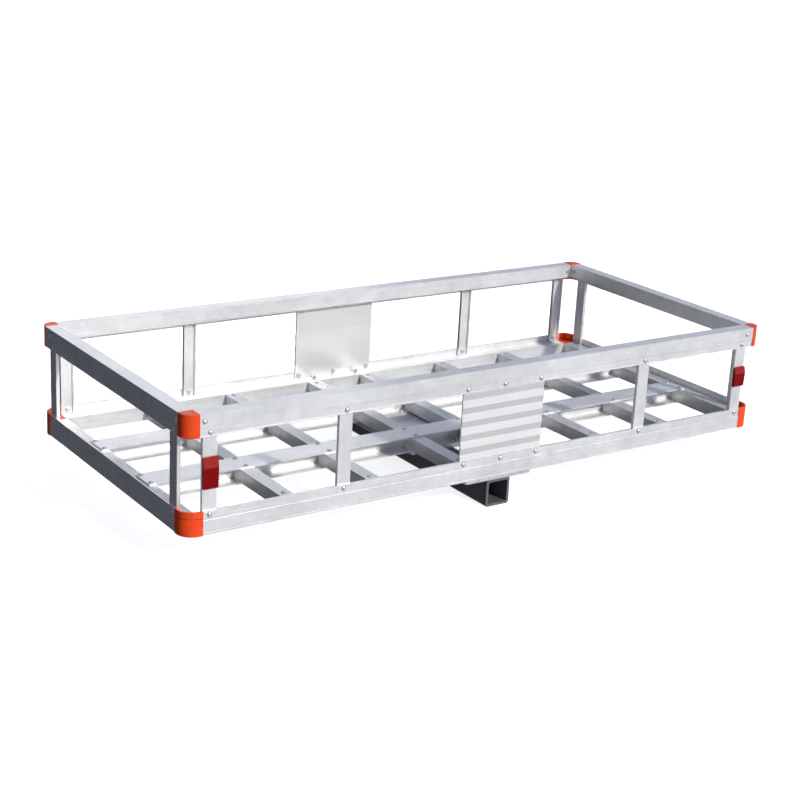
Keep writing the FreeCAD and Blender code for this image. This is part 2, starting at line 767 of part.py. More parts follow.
def end_plate_bolts():
    y = HALF_WIDTH - PLATE_BOLT_INSET
    return [(x, side * y) for side in (-1, 1) for x in (-PLATE_BOLT_X, PLATE_BOLT_X)]


def middle_plate_bolts():
    places = []
    for beam in (-1, 1):
        for side in (-1, 1):
            y = beam * size("beam_offset_y") + side * MIDDLE_BOLT_OFFSET
            places += [(-MIDDLE_BOLT_X, y), (MIDDLE_BOLT_X, y)]
    return places


def make_plates():
    inset = size("tube_set_back")
    front = [place for place in end_plate_bolts() if place[1] < 0]
    back = [place for place in end_plate_bolts() if place[1] > 0]
    front_plate = plate_with_holes(-HALF_WIDTH + inset, END_PLATE_DEPTH, front)
    back_plate = plate_with_holes(HALF_WIDTH - inset - END_PLATE_DEPTH, END_PLATE_DEPTH, back)
    add_feature("end_plates", Part.makeCompound([front_plate, back_plate]))
    reach = size("beam_offset_y") + size("beam_width") / 2
    add_feature("middle_plate", plate_with_holes(-reach, 2 * reach, middle_plate_bolts()))


# ---------------------------------------------------------------- fasteners

def domed_bolt(shank_length):
    """Head base at z = 0 with its dome above and the shank below, made by turning one outline."""
    radius = size("bolt_head_radius")
    height = size("bolt_head_height")
    shank = size("bolt_radius")
    dome_radius = (radius * radius + height * height) / (2 * height)
    half_angle = math.asin(radius / dome_radius) / 2
    centre_z = height - dome_radius
    on_dome = Vector(dome_radius * math.sin(half_angle), 0, centre_z + dome_radius * math.cos(half_angle))
    rim = Vector(radius, 0, 0)
    crown = Vector(0, 0, height)
    tip_bevel = 0.5
    lower_points = [
        rim,
        Vector(shank, 0, 0),
        Vector(shank, 0, tip_bevel - shank_length),
        Vector(shank - tip_bevel, 0, -shank_length),
        Vector(0, 0, -shank_length),
        crown,
    ]
    edges = [Part.Arc(crown, on_dome, rim).toShape()]
    for start, end in zip(lower_points, lower_points[1:]):
        edges.append(Part.makeLine(start, end))
    face = Part.Face(Part.Wire(edges))
    return face.revolve(Vector(0, 0, 0), Vector(0, 0, 1), 360)


def hexagon_block(flats, height, bore):
    """A hexagonal block from z = 0 up, with its flats level, and a round bore if bore is over zero."""
    corner = flats / math.sqrt(3)
    points = []
    for number in range(7):
        angle = math.pi / 3 * number
        points.append(Vector(corner * math.cos(angle), corner * math.sin(angle), 0))
    block = Part.Face(Part.makePolygon(points)).extrude(Vector(0, 0, height))
    rim = Part.makeCone(corner + 0.9, corner - 0.3, 1.2, Vector(0, 0, height - 1.2))
    rim = rim.fuse(Part.makeCylinder(corner + 0.9, height - 1.2))
    block = block.common(rim)
    if bore > 0:
        block = block.cut(Part.makeCylinder(bore, height + 2, Vector(0, 0, -1)))
    return block


def stand(shape, point, outward):
    """A copy of a fastener moved to a point with +Z turned outwards and its hexagon's flats level."""
    up = Vector(0, 0, 1)
    level = Vector(1, 0, 0) if abs(outward.z) > 0.5 else up.cross(outward)
    copy = shape.copy()
    copy.Placement = Placement(point, Rotation(level, Vector(), outward, "ZXY"))
    return copy


def wall_places():
    """Every bolt through the side walls: (x, y, z on the outer plane, outward direction, is_corner)."""
    upper = UPPER_BOTTOM + UPPER_BOLT
    corner = UPPER_BOTTOM + CORNER_BOLT
    places = []
    for side in (-1, 1):
        out_y = Vector(0, side, 0)
        out_x = Vector(side, 0, 0)
        for z in (LOWER_BOLT, upper):
            for x in UPRIGHT_X + PANEL_BOLT_X:
                places.append((Vector(x, side * HALF_WIDTH, z), out_y, False))
            for end in (-1, 1):
                y = end * size("upright_end_y")
                places.append((Vector(side * HALF_LENGTH, y, z), out_x, False))
        for end in (-1, 1):
            x = end * (HALF_LENGTH - CORNER_BOLT_INSET)
            y = end * (HALF_WIDTH - CORNER_BOLT_INSET)
            places.append((Vector(x, side * HALF_WIDTH, corner), out_y, True))
            places.append((Vector(side * HALF_LENGTH, y, corner), out_x, True))
    return places


def make_wall_fasteners():
    head = size("flange_face")
    grip = size("flange_back") + size("upright_wall")
    nut_height = size("nut_height")
    short_bolt = domed_bolt(grip - head + nut_height + 1.0)
    long_bolt = domed_bolt(size("upper_rail_depth") + nut_height + 1.0)
    nut = hexagon_block(size("nut_flats"), nut_height, size("bolt_hole_radius"))
    bolts = []
    nuts = []
    for point, outward, is_corner in wall_places():
        if is_corner:
            bolts.append(stand(long_bolt, point, outward))
            nuts.append(stand(nut, point - outward * size("upper_rail_depth"), outward * -1))
        else:
            bolts.append(stand(short_bolt, point - outward * head, outward))
            nuts.append(stand(nut, point - outward * grip, outward * -1))
    add_feature("wall_bolts", Part.makeCompound(bolts))
    add_feature("wall_nuts", Part.makeCompound(nuts))


def make_plate_bolts():
    """Hexagon-headed bolts from below, each with its nut on the ledge or on the beam's low flange."""
    down = Vector(0, 0, -1)
    up = Vector(0, 0, 1)
    plate = size("plate_thickness")
    solids = []
    for places, top in ((end_plate_bolts(), LEDGE), (middle_plate_bolts(), size("beam_flange"))):
        head = hexagon_block(size("nut_flats"), size("nut_height"), 0)
        nut = hexagon_block(size("nut_flats"), size("nut_height"), size("bolt_hole_radius"))
        shank_length = plate + top + size("nut_height") + 3.0
        shank = Part.makeCylinder(size("bolt_radius"), shank_length, Vector(0, 0, -shank_length))
        bolt = head.fuse(shank).removeSplitter()
        for x, y in places:
            solids.append(stand(bolt, Vector(x, y, -plate), down))
            solids.append(stand(nut, Vector(x, y, top), up))
    add_feature("plate_bolts", Part.makeCompound(solids))


def make_floor_screws():
    """Domed screws down through the beams' top flanges, the beam tabs and the slat ends."""
    up = Vector(0, 0, 1)
    flange = size("beam_flange")
    tab_x = LOWER_INNER_X + size("beam_bolt_inset")
    screws = []
    short = domed_bolt(flange + size("slat_wall") + 5.0)
    for beam in (-1, 1):
        for side in (-1, 1):
            y = beam * size("beam_offset_y") + side * size("floor_screw_offset")
            for x in SLAT_X + [-tab_x, tab_x]:
                screws.append(stand(short, Vector(x, y, LEDGE + flange), up))
    clip_y = LOWER_INNER_Y - size("slat_end_gap") - CLIP_SCREW
    low = domed_bolt(size("slat_wall") + CLIP_THICKNESS + 4.0)
    for side in (-1, 1):
        for x in SLAT_X:
            screws.append(stand(low, Vector(x, side * clip_y, LEDGE), up))
    add_feature("floor_screws", Part.makeCompound(screws))




def make_slat_clips():
    """Angle clips inside the slats' outer ends: one leg on the rail's inner wall, one under the top."""
    width = size("slat_width") - 2 * size("slat_wall") - 1.0
    leg = 18.0
    top = LEDGE - size("slat_wall")
    clips = []
    for side in (-1, 1):
        for x in SLAT_X:
            wall = Part.makeBox(width, CLIP_THICKNESS, leg, Vector(-width / 2, -CLIP_THICKNESS, -leg))
            shelf = Part.makeBox(
                width, leg, CLIP_THICKNESS, Vector(-width / 2, -leg, -CLIP_THICKNESS)
            )
            screw_y = -size("slat_end_gap") - CLIP_SCREW
            hole = Part.makeCylinder(
                size("bolt_hole_radius"), 2 * CLIP_THICKNESS, Vector(0, screw_y, -1.5 * CLIP_THICKNESS)
            )
            clip = wall.fuse(shelf).removeSplitter().cut(hole)
            turn = 0 if side > 0 else 180
            clip.Placement = Placement(
                Vector(x, side * LOWER_INNER_Y, top), Rotation(Vector(0, 0, 1), turn)
            )
            clips.append(clip)
    add_feature("slat_clips", Part.makeCompound(clips))


# ---------------------------------------------------------------- reflectors

REFLECTOR_CORNER = 3.0
REFLECTOR_RIM = 3.0
LEFT_REFLECTOR_Z = 104.0
RIGHT_REFLECTOR_Z = 107.0


def reflector(name, x, centre_z, height_alias):
    """A rounded plate with a faceted face: a slanted upper facet and a nearly upright lower one."""
    body = new_body(name)
    half_width = size("reflector_width") / 2
    half_height = size(height_alias) / 2
    depth = size("reflector_depth")
    crease = half_height / 3
    side = sketch_on(body, "YZ_Plane", name + "_side", -half_width)
    add_loop(
        side,
        [
            (0.0, -half_height),
            (0.0, half_height),
            (-REFLECTOR_RIM, half_height),
            (-depth, crease),
            (-depth + 1.0, -half_height + 2.0),
            (-REFLECTOR_RIM, -half_height),
        ],
    )
    pad(body, side, name + "_block", "dims.reflector_width")
    mask = sketch_on(body, "XZ_Plane", name + "_corners", depth + 1.0)
    add_loop(mask, rectangle(-half_width - 5, -half_height - 5, half_width + 5, half_height + 5))
    rounded_rectangle(mask, half_width, half_height, REFLECTOR_CORNER)
    pocket(body, mask, name + "_rounding", "dims.reflector_depth + 2")
    height = "dims.ledge_level + %s" % (centre_z - LEDGE)
    place_by_cells(body, str(x), "-dims.basket_width / 2 + dims.flange_back", height, 0)


def rounded_rectangle(sketch, half_a, half_b, radius):
    axis = Vector(0, 0, 1)
    a = half_a - radius
    b = half_b - radius
    for number, (ca, cb) in enumerate(((a, b), (-a, b), (-a, -b), (a, -b))):
        start = number * math.pi / 2
        circle = Part.Circle(Vector(ca, cb, 0), axis, radius)
        sketch.addGeometry(Part.ArcOfCircle(circle, start, start + math.pi / 2), False)
    for start, end in (
        ((a, half_b), (-a, half_b)),
        ((-half_a, b), (-half_a, -b)),
        ((-a, -half_b), (a, -half_b)),
        ((half_a, -b), (half_a, b)),
    ):
        sketch.addGeometry(Part.LineSegment(Vector(*start, 0), Vector(*end, 0)), False)


# ---------------------------------------------------------------- build, check and write

make_rails()
make_corner_caps()
make_uprights()
make_panels()
make_floor()
make_hitch_tube()
make_plates()
make_wall_fasteners()
make_plate_bolts()
make_floor_screws()
make_slat_clips()
reflector("reflector_left", UPRIGHT_X[0], LEFT_REFLECTOR_Z, "left_reflector_height")
reflector("reflector_right", UPRIGHT_X[-1], RIGHT_REFLECTOR_Z, "right_reflector_height")
doc.recompute()

problems = []
for item in doc.Objects:
    if "Invalid" in item.State or "Error" in item.State:
        problems.append("%s: %s" % (item.Name, item.State))
for node in NODES:
    if node.Shape.isNull() or not node.Shape.isValid():
        problems.append("%s: shape is null or not valid" % node.Label)
    if node.TypeId == "PartDesign::Body" and len(node.Shape.Solids) != 1:
        problems.append("%s: %d solids" % (node.Label, len(node.Shape.Solids)))
if problems:
    raise RuntimeError("; ".join(problems))

os.makedirs("parts", exist_ok=True)
for node in NODES:
    node.Shape.exportStep("parts/%s.step" % node.Label)
print("nodes written:", len(NODES))
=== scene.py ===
"""Looks for the hitch cargo carrier: metres, +X right, +Y towards the vehicle, +Z up.

The origin is the centre of the hitch-pin hole.  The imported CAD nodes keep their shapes; this
script gives them rounded edges and materials, and adds the weld beads, the light, the floor
and the camera.
"""
import math

import bmesh
import bpy
from mathutils import Matrix, Vector


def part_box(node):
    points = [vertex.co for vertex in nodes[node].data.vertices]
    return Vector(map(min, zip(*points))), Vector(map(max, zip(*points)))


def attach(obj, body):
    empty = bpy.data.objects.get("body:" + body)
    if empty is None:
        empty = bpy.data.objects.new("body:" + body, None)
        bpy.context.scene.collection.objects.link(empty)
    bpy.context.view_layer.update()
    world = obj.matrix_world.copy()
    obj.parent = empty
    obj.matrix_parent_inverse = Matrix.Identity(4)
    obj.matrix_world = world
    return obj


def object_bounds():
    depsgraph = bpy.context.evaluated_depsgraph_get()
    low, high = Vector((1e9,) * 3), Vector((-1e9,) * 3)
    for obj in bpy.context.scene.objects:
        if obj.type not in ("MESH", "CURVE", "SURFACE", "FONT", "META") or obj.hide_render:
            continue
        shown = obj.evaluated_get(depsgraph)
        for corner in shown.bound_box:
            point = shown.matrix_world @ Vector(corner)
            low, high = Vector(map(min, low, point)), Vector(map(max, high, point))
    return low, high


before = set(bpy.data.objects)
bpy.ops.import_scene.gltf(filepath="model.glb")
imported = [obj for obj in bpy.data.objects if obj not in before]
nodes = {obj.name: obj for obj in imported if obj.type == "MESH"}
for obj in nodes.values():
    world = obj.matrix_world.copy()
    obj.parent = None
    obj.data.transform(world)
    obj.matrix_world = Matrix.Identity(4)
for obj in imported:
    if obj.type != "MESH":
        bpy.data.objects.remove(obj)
cad_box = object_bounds()
scene = bpy.context.scene

MM = 0.001
LEFT, RIGHT = -1, 1
RAILS_LONG = [level + side for level in ("upper_", "lower_") for side in ("front_rail", "back_rail")]
RAILS_SHORT = [level + side for level in ("upper_", "lower_") for side in ("left_rail", "right_rail")]
CAPS = [name for name in nodes if "_cap_" in name]
UPRIGHTS = [name for name in nodes if name.startswith("upright_")]
PANELS = ["front_panel", "back_panel"]
BEAMS = ["front_beam", "back_beam"]
SLATS = [name for name in nodes if name.startswith("slat_") and name != "slat_clips"]
PLATES = ["end_plates", "middle_plate"]
REFLECTORS = ["reflector_left", "reflector_right"]
FASTENERS = ["wall_bolts", "wall_nuts", "plate_bolts", "floor_screws"]

BASKET_CENTRE = (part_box("lower_cap_front_left")[0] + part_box("upper_cap_back_right")[1]) / 2
TUBE_LOW, TUBE_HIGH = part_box("hitch_tube")


# ---------------------------------------------------------------- material helpers

def new_material(name):
    """A node material holding one Principled shader; returns the material, its nodes and shader."""
    material = bpy.data.materials.new(name)
    material.use_nodes = True
    tree = material.node_tree
    shader = tree.nodes["Principled BSDF"]
    return material, tree, shader


def even(scale):
    """The same noise scale along all three axes."""
    return (scale, scale, scale)


def stretched_noise(tree, scale, detail=3.0, roughness=0.55):
    """Noise in the object's own coordinates, with a separate scale along each axis."""
    place = tree.nodes.new("ShaderNodeTexCoord")
    mapping = tree.nodes.new("ShaderNodeMapping")
    mapping.inputs["Scale"].default_value = scale
    noise = tree.nodes.new("ShaderNodeTexNoise")
    noise.inputs["Scale"].default_value = 1.0
    noise.inputs["Detail"].default_value = detail
    noise.inputs["Roughness"].default_value = roughness
    tree.links.new(place.outputs["Object"], mapping.inputs["Vector"])
    tree.links.new(mapping.outputs["Vector"], noise.inputs["Vector"])
    return noise.outputs["Fac"]


def ranged(tree, value, low, high, start=0.3, end=0.7):
    """Maps a factor from start..end to low..high."""
    node = tree.nodes.new("ShaderNodeMapRange")
    node.inputs["From Min"].default_value = start
    node.inputs["From Max"].default_value = end
    node.inputs["To Min"].default_value = low
    node.inputs["To Max"].default_value = high
    tree.links.new(value, node.inputs["Value"])
    return node.outputs["Result"]


def mix_towards(tree, factor, color):
    """A mix node that gives the colour where the factor is 1; its input A is left to the caller."""
    node = tree.nodes.new("ShaderNodeMix")
    node.data_type = "RGBA"
    node.inputs["B"].default_value = (*color, 1.0)
    tree.links.new(factor, node.inputs["Factor"])
    return node


def blended_color(tree, factor, dark, light):
    """Dark where the factor is 0, light where it is 1."""
    node = mix_towards(tree, factor, light)
    node.inputs["A"].default_value = (*dark, 1.0)
    return node.outputs["Result"]


def covered(tree, factor, under, color):
    """Lays a plain colour over another node's colour, fully where the factor is 1."""
    node = mix_towards(tree, factor, color)
    tree.links.new(under, node.inputs["A"])
    return node.outputs["Result"]


def added(tree, first, second):
    """The sum of two factors."""
    node = tree.nodes.new("ShaderNodeMath")
    node.operation = "ADD"
    tree.links.new(first, node.inputs[0])
    tree.links.new(second, node.inputs[1])
    return node.outputs["Value"]


def upward(tree, low, high):
    """0 where the surface leans down past low, 1 where it leans up past high."""
    geometry = tree.nodes.new("ShaderNodeNewGeometry")
    split = tree.nodes.new("ShaderNodeSeparateXYZ")
    tree.links.new(geometry.outputs["True Normal"], split.inputs["Vector"])
    return ranged(tree, split.outputs["Z"], 0.0, 1.0, low, high)


def bumped(tree, shader, height, depth, strength):
    """Relief of the given depth on the shader's surface."""
    node = tree.nodes.new("ShaderNodeBump")
    node.inputs["Distance"].default_value = depth
    node.inputs["Strength"].default_value = strength
    tree.links.new(height, node.inputs["Height"])
    tree.links.new(node.outputs["Normal"], shader.inputs["Normal"])


# ---------------------------------------------------------------- aluminium

ALUMINIUM_METALLIC = 0.62
RAIL_DARK = (0.62, 0.62, 0.62)
RAIL_LIGHT = (0.93, 0.93, 0.93)
# the panel's tones: the grain varies between them, and the painted sheen of the up-leaning folds pushes
# towards the lighter one
PANEL_DARK = (0.66, 0.66, 0.65)
PANEL_LIGHT = (0.95, 0.95, 0.92)
ALONG_GRAIN = 5.0
ACROSS_GRAIN = 900.0
GRAIN_SCALES = {
    "x": (ALONG_GRAIN, ACROSS_GRAIN, ACROSS_GRAIN),
    "y": (ACROSS_GRAIN, ALONG_GRAIN, ACROSS_GRAIN),
    "z": (ACROSS_GRAIN, ACROSS_GRAIN, ALONG_GRAIN),
}
RAIL_PATCH_SCALE = 9.0
RAIL_MARK_SCALE = 38.0
PANEL_PATCH_SCALE = 16.0
RAIL_ROUGHNESS = 0.40
FLOOR_PIECE_ROUGHNESS = 0.42
# the lean over which the panel goes from its painted shade to its painted sheen
PANEL_SHEEN_LEAN = 0.06


def aluminium(name, grain, roughness):
    """Extruded aluminium: fine lines along the grain, soft cloudy patches and faint handling marks."""
    material, tree, shader = new_material(name)
    lines = stretched_noise(tree, GRAIN_SCALES[grain], detail=2.0)
    patches = stretched_noise(tree, even(RAIL_PATCH_SCALE))
    marks = stretched_noise(tree, even(RAIL_MARK_SCALE), detail=6.0, roughness=0.72)
    clouds = added(tree, ranged(tree, patches, low=0.0, high=0.35), ranged(tree, marks, low=0.0, high=0.38))
    tone = added(tree, ranged(tree, lines, low=0.0, high=0.27), clouds)
    tree.links.new(blended_color(tree, tone, RAIL_DARK, RAIL_LIGHT), shader.inputs["Base Color"])
    line_gloss = ranged(tree, lines, low=roughness - 0.05, high=roughness + 0.06)
    mark_gloss = ranged(tree, marks, low=-0.03, high=0.05)
    tree.links.new(added(tree, line_gloss, mark_gloss), shader.inputs["Roughness"])
    shader.inputs["Metallic"].default_value = ALUMINIUM_METALLIC
    bumped(tree, shader, lines, depth=0.2 * MM, strength=0.35)
    return material


def panel_aluminium():
    """Brushed sheet whose up-leaning folds are painted brighter than the down-leaning ones: a painted sheen
    and painted shade for how the light falls on the folds.
    """
    material, tree, shader = new_material("panel_grain_and_painted_sheen")
    lines = stretched_noise(tree, GRAIN_SCALES["x"], detail=2.0)
    patches = stretched_noise(tree, even(PANEL_PATCH_SCALE))
    # painted sheen: the up-leaning folds lighter and the down-leaning ones darker, as the light falls on
    # them
    painted_sheen = upward(tree, -PANEL_SHEEN_LEAN, PANEL_SHEEN_LEAN)
    fine = added(tree, ranged(tree, lines, low=0.0, high=0.18), ranged(tree, patches, low=0.0, high=0.17))
    tone = added(tree, fine, ranged(tree, painted_sheen, low=0.0, high=0.65, start=0.0, end=1.0))
    tree.links.new(blended_color(tree, tone, PANEL_DARK, PANEL_LIGHT), shader.inputs["Base Color"])
    tree.links.new(ranged(tree, lines, low=0.28, high=0.36), shader.inputs["Roughness"])
    shader.inputs["Metallic"].default_value = ALUMINIUM_METALLIC
    bumped(tree, shader, lines, depth=0.1 * MM, strength=0.15)
    return material


# ---------------------------------------------------------------- steel

PAINT_DARK = (0.075, 0.076, 0.083)
PAINT_LIGHT = (0.140, 0.142, 0.152)
PAINT_CLOUD_SCALE = 14.0
PAINT_SCUFF_SCALE = (30.0, 6.0, 30.0)
PAINT_GRAIN_SCALE = 900.0
PLATE_DARK = (0.56, 0.57, 0.59)
PLATE_LIGHT = (0.76, 0.77, 0.79)
FASTENER_DARK = (0.50, 0.50, 0.51)
FASTENER_LIGHT = (0.68, 0.68, 0.68)
ZINC_METALLIC = 0.75
ZINC_MOTTLE_SCALE = 120.0
# painted highlight along the aluminium edges; worn bare steel with a painted highlight along the tube and
# plate edges
BRIGHT_EDGE = (0.97, 0.97, 0.97)
STEEL_EDGE = (0.86, 0.86, 0.87)
EDGE_BREAKUP_SCALE = 80.0
EDGE_DIM_SHARE = 0.72


def tube_paint():
    """Dark powder coat with a fine orange-peel surface and slightly uneven gloss."""
    material, tree, shader = new_material("tube_paint")
    cloud = stretched_noise(tree, even(PAINT_CLOUD_SCALE))
    scuffs = stretched_noise(tree, PAINT_SCUFF_SCALE, detail=6.0, roughness=0.75)
    grain = stretched_noise(tree, even(PAINT_GRAIN_SCALE), detail=2.0)
    cloud_tone = ranged(tree, cloud, low=0.0, high=0.6)
    scuff_tone = ranged(tree, scuffs, low=0.0, high=0.4, start=0.5, end=0.75)
    tone = added(tree, cloud_tone, scuff_tone)
    tree.links.new(blended_color(tree, tone, PAINT_DARK, PAINT_LIGHT), shader.inputs["Base Color"])
    tree.links.new(ranged(tree, cloud, low=0.36, high=0.50), shader.inputs["Roughness"])
    bumped(tree, shader, grain, depth=0.1 * MM, strength=0.35)
    return material


def zinc(name, dark, light, roughness):
    """Zinc-plated steel: mottled tone and gloss."""
    material, tree, shader = new_material(name)
    mottle = stretched_noise(tree, even(ZINC_MOTTLE_SCALE), detail=4.0, roughness=0.65)
    tone = ranged(tree, mottle, low=0.0, high=1.0)
    gloss = ranged(tree, mottle, low=roughness - 0.06, high=roughness + 0.1)
    tree.links.new(blended_color(tree, tone, dark, light), shader.inputs["Base Color"])
    tree.links.new(gloss, shader.inputs["Roughness"])
    shader.inputs["Metallic"].default_value = ZINC_METALLIC
    bumped(tree, shader, mottle, depth=0.1 * MM, strength=0.2)
    return material


def highlit_edge(name, color, roughness, metallic):
    """Brighter edges with a faintly broken gloss: a painted highlight along the aluminium edges, and worn
    bare steel with a painted highlight along the steel ones.
    """
    material, tree, shader = new_material(name)
    edge_breakup = stretched_noise(tree, even(EDGE_BREAKUP_SCALE), detail=4.0, roughness=0.7)
    dim_edge = tuple(EDGE_DIM_SHARE * part for part in color)
    tone = ranged(tree, edge_breakup, low=0.0, high=1.0)
    gloss = ranged(tree, edge_breakup, low=roughness, high=roughness + 0.15)
    tree.links.new(blended_color(tree, tone, dim_edge, color), shader.inputs["Base Color"])
    tree.links.new(gloss, shader.inputs["Roughness"])
    shader.inputs["Metallic"].default_value = metallic
    return material


# ---------------------------------------------------------------- plastic

CAP_DARK = (0.64, 0.046, 0.005)
CAP_LIGHT = (0.80, 0.068, 0.008)
CAP_SCUFF = (0.85, 0.30, 0.18)
# painted shade in the groove of the lower caps' mould line
CAP_SHADOW = (0.25, 0.012, 0.002)
CAP_CLOUD_SCALE = 25.0
CAP_SCUFF_SCALE = (70.0, 70.0, 260.0)
CAP_GRAIN_SCALE = 1300.0
CAP_LINE_DROP = 11.3 * MM
CAP_LINE_HALF = 0.45 * MM
LENS_RED = (0.20, 0.001, 0.003)
LENS_DEEP = (0.12, 0.0004, 0.001)
# painted sheen colour for the up-leaning parts of the lens
LENS_SHEEN = (0.26, 0.018, 0.018)
LENS_PRISM_SCALE = (420.0, 1.0, 420.0)
LENS_PRISM_TURN = math.radians(45)
# the lean over which the lens's painted sheen comes in
LENS_SHEEN_LEAN = (0.08, 0.16)
RIM_DARK = (0.035, 0.001, 0.002)
RIM_LIGHT = (0.070, 0.001, 0.003)
RIM_CLOUD_SCALE = 90.0


def mould_line_shade(tree):
    """1 on a thin level line near the top of the lower caps, where the mould line's groove gets its painted
    shade; 0 elsewhere.
    """
    place = tree.nodes.new("ShaderNodeTexCoord")
    split = tree.nodes.new("ShaderNodeSeparateXYZ")
    tree.links.new(place.outputs["Object"], split.inputs["Vector"])
    line = tree.nodes.new("ShaderNodeMath")
    line.operation = "COMPARE"
    line.inputs[1].default_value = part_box("lower_cap_front_left")[1][2] - CAP_LINE_DROP
    line.inputs[2].default_value = CAP_LINE_HALF
    tree.links.new(split.outputs["Z"], line.inputs[0])
    return line.outputs["Value"]


def cap_material():
    """Moulded orange plastic with a fine leather grain, a mould line painted dark as the shade in its
    groove, and a few pale scuffs.
    """
    material, tree, shader = new_material("cap_plastic")
    cloud = stretched_noise(tree, even(CAP_CLOUD_SCALE), detail=2.0)
    scuffs = stretched_noise(tree, CAP_SCUFF_SCALE, detail=6.0, roughness=0.8)
    grain = stretched_noise(tree, even(CAP_GRAIN_SCALE), detail=2.0)
    plain = blended_color(tree, ranged(tree, cloud, low=0.0, high=1.0), CAP_DARK, CAP_LIGHT)
    scuff_tone = ranged(tree, scuffs, low=0.0, high=0.5, start=0.62, end=0.80)
    scuffed = covered(tree, scuff_tone, plain, CAP_SCUFF)
    # painted shade along the mould line's groove
    groove_shaded = covered(tree, mould_line_shade(tree), scuffed, CAP_SHADOW)
    tree.links.new(groove_shaded, shader.inputs["Base Color"])
    tree.links.new(ranged(tree, cloud, low=0.36, high=0.50), shader.inputs["Roughness"])
    shader.inputs["Specular IOR Level"].default_value = 0.30
    bumped(tree, shader, grain, depth=0.08 * MM, strength=0.3)
    return material


def prism_cells(tree):
    """The distance from the middle of each cell of a fine diamond pattern."""
    place = tree.nodes.new("ShaderNodeTexCoord")
    turned = tree.nodes.new("ShaderNodeMapping")
    turned.inputs["Rotation"].default_value = (0.0, LENS_PRISM_TURN, 0.0)
    turned.inputs["Scale"].default_value = LENS_PRISM_SCALE
    tree.links.new(place.outputs["Object"], turned.inputs["Vector"])
    cells = tree.nodes.new("ShaderNodeTexVoronoi")
    cells.distance = "CHEBYCHEV"
    cells.inputs["Randomness"].default_value = 0.0
    cells.inputs["Scale"].default_value = 1.0
    tree.links.new(turned.outputs["Vector"], cells.inputs["Vector"])
    return cells.outputs["Distance"]


def reflector_lens():
    """Deep red plastic with a fine diamond relief, with a painted sheen that makes it paler where the lens
    leans up.
    """
    material, tree, shader = new_material("reflector_lens")
    cells = prism_cells(tree)
    deep = blended_color(tree, cells, LENS_RED, LENS_DEEP)
    # painted sheen: paler where the lens leans up
    color = covered(tree, upward(tree, *LENS_SHEEN_LEAN), deep, LENS_SHEEN)
    tree.links.new(color, shader.inputs["Base Color"])
    shader.inputs["Roughness"].default_value = 0.30
    shader.inputs["Specular IOR Level"].default_value = 0.10
    bumped(tree, shader, cells, depth=0.5 * MM, strength=0.4)
    return material


def reflector_rim():
    """The darker rounded rim of a reflector."""
    material, tree, shader = new_material("reflector_rim")
    cloud = stretched_noise(tree, even(RIM_CLOUD_SCALE), detail=2.0)
    tone = ranged(tree, cloud, low=0.0, high=1.0)
    tree.links.new(blended_color(tree, tone, RIM_DARK, RIM_LIGHT), shader.inputs["Base Color"])
    tree.links.new(ranged(tree, cloud, low=0.18, high=0.30), shader.inputs["Roughness"])
    return material


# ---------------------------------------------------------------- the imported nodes' looks

RAIL_EDGE = 0.5 * MM
THIN_EDGE = 0.35 * MM
TUBE_EDGE = 1.3 * MM
PLATE_EDGE = 0.6 * MM
CAP_EDGE = 1.6 * MM
REFLECTOR_EDGE = 1.2 * MM


def soften(names, width, edge_material, segments=2, angle=40):
    """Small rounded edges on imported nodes, in a material of their own where one is given."""
    for name in names:
        bevel = nodes[name].modifiers.new("edge", "BEVEL")
        bevel.width = width
        bevel.segments = segments
        bevel.limit_method = "ANGLE"
        bevel.angle_limit = math.radians(angle)
        bevel.harden_normals = True
        if edge_material is not None:
            nodes[name].data.materials.append(edge_material)
            bevel.material = 1


def paint(names, material):
    """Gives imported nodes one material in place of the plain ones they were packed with."""
    for name in names:
        mesh = nodes[name].data
        mesh.materials.clear()
        mesh.materials.append(material)


def paint_nodes(steel_paint):
    paint(RAILS_LONG, aluminium("rail_grain_x", "x", RAIL_ROUGHNESS))
    paint(RAILS_SHORT, aluminium("rail_grain_y", "y", RAIL_ROUGHNESS))
    paint(UPRIGHTS, aluminium("upright_grain", "z", RAIL_ROUGHNESS))
    paint(SLATS, aluminium("slat_grain", "y", FLOOR_PIECE_ROUGHNESS))
    paint(BEAMS, aluminium("beam_grain", "x", FLOOR_PIECE_ROUGHNESS))
    paint(PANELS, panel_aluminium())
    paint(CAPS, cap_material())
    paint(REFLECTORS, reflector_lens())
    paint(["hitch_tube"], steel_paint)
    paint(PLATES + ["slat_clips"], zinc("plate_zinc", PLATE_DARK, PLATE_LIGHT, roughness=0.40))
    paint(FASTENERS, zinc("fastener_zinc", FASTENER_DARK, FASTENER_LIGHT, roughness=0.30))


def soften_nodes():
    # painted highlight on the aluminium edges; worn bare steel with a painted highlight on the tube and
    # plate edges
    aluminium_edge_highlight = highlit_edge("aluminium_edge_painted_highlight", BRIGHT_EDGE, roughness=0.22, metallic=0.80)
    worn_steel_edge_and_highlight = highlit_edge("worn_steel_edge_and_painted_highlight", STEEL_EDGE, roughness=0.30, metallic=0.25)
    soften(RAILS_LONG + RAILS_SHORT, RAIL_EDGE, aluminium_edge_highlight)
    soften(UPRIGHTS + PANELS + SLATS + BEAMS, THIN_EDGE, aluminium_edge_highlight)
    soften(["hitch_tube"], TUBE_EDGE, worn_steel_edge_and_highlight)
    soften(PLATES, PLATE_EDGE, worn_steel_edge_and_highlight)
    soften(CAPS, CAP_EDGE, None, segments=3, angle=50)
    soften(REFLECTORS, REFLECTOR_EDGE, reflector_rim(), segments=2, angle=30)


# ---------------------------------------------------------------- welds

